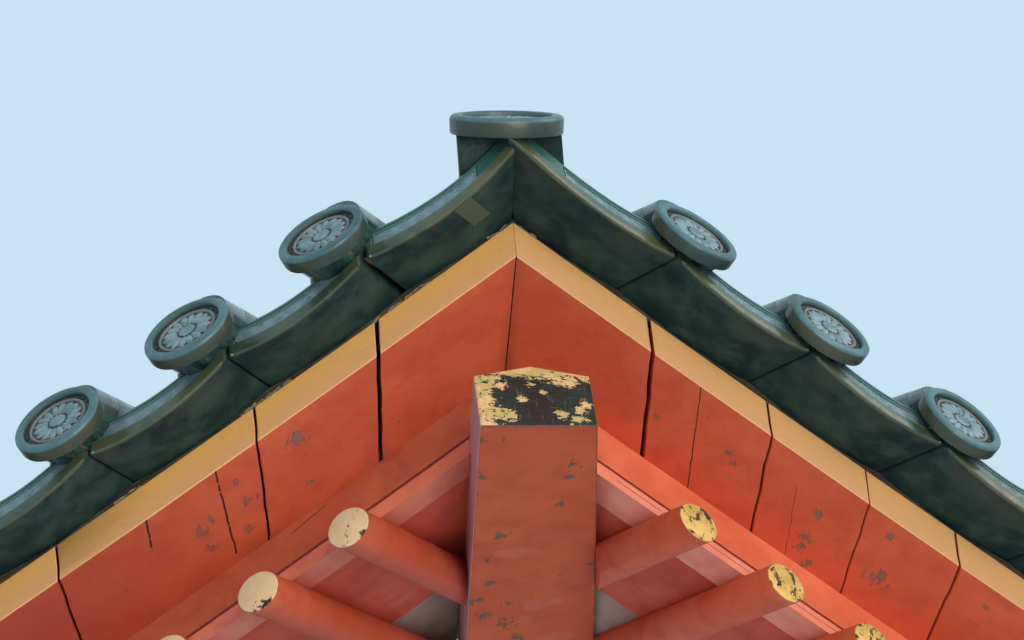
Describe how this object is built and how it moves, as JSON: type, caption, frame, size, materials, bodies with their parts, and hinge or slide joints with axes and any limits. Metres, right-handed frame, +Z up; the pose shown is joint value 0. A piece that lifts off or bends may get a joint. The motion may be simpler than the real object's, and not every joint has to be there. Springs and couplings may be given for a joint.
{
  "type": "pagoda roof corner",
  "caption": "Upturned eave corner of a six-sided pagoda roof: hip rafter, round rafters, eave beams and fan-laid boards under glazed pan and cover tiles with lotus ends.",
  "frame": {"origin": "middle of the flat cut face at the inner end of the hip rafter, where the corner is bolted to the building", "axes": "+Z up, +Y inward, square to the cut face, along the line halfway between the two eaves, +X to the right seen from outside; the corner points to -Y"},
  "size_m": [3.1918, 2.0579, 1.5674],
  "materials": {
    "vermilion_wood": "weathered vermilion paint on timber",
    "pink_red_wood": "faded pink-red paint on timber",
    "dark_red_wood": "dark red paint on timber",
    "board_red_and_ochre": "vermilion underside with ochre end grain, cracked and flaking",
    "white_plaster": "matt lime plaster",
    "clay_bed": "dry clay and timber bed",
    "glazed_tile": "mottled blue-green glaze"
  },
  "bodies": {
    "root": {"hip_rafter": "vermilion_wood", "rafter_right_1": "vermilion_wood", "rafter_left_1": "vermilion_wood", "rafter_right_2": "vermilion_wood", "rafter_left_2": "vermilion_wood", "rafter_right_3": "vermilion_wood", "rafter_left_3": "vermilion_wood", "rafter_right_4": "vermilion_wood", "rafter_left_4": "vermilion_wood", "rafter_right_5": "vermilion_wood", "rafter_left_5": "vermilion_wood", "rafter_right_6": "vermilion_wood", "rafter_left_6": "vermilion_wood", "rafter_right_7": "vermilion_wood", "rafter_left_7": "vermilion_wood", "edge_board_right": "pink_red_wood", "edge_board_left": "pink_red_wood", "eave_beam_right": "vermilion_wood", "eave_beam_left": "vermilion_wood", "soffit_boards_right": "dark_red_wood", "soffit_boards_left": "dark_red_wood", "soffit_plaster_right": "white_plaster", "soffit_plaster_left": "white_plaster", "eave_board_right_1": "board_red_and_ochre", "eave_board_left_1": "board_red_and_ochre", "eave_board_right_2": "board_red_and_ochre", "eave_board_left_2": "board_red_and_ochre", "eave_board_right_3": "board_red_and_ochre", "eave_board_left_3": "board_red_and_ochre", "eave_board_right_4": "board_red_and_ochre", "eave_board_left_4": "board_red_and_ochre", "eave_board_right_5": "board_red_and_ochre", "eave_board_left_5": "board_red_and_ochre", "eave_board_right_6": "board_red_and_ochre", "eave_board_left_6": "board_red_and_ochre", "eave_board_right_7": "board_red_and_ochre", "eave_board_left_7": "board_red_and_ochre", "tile_batten_right": "clay_bed", "tile_batten_left": "clay_bed", "roof_bed_right": "clay_bed", "roof_bed_left": "clay_bed", "eave_tiles_right": "glazed_tile", "eave_tiles_left": "glazed_tile", "hip_cover": "glazed_tile"}
  },
  "joints": []
}
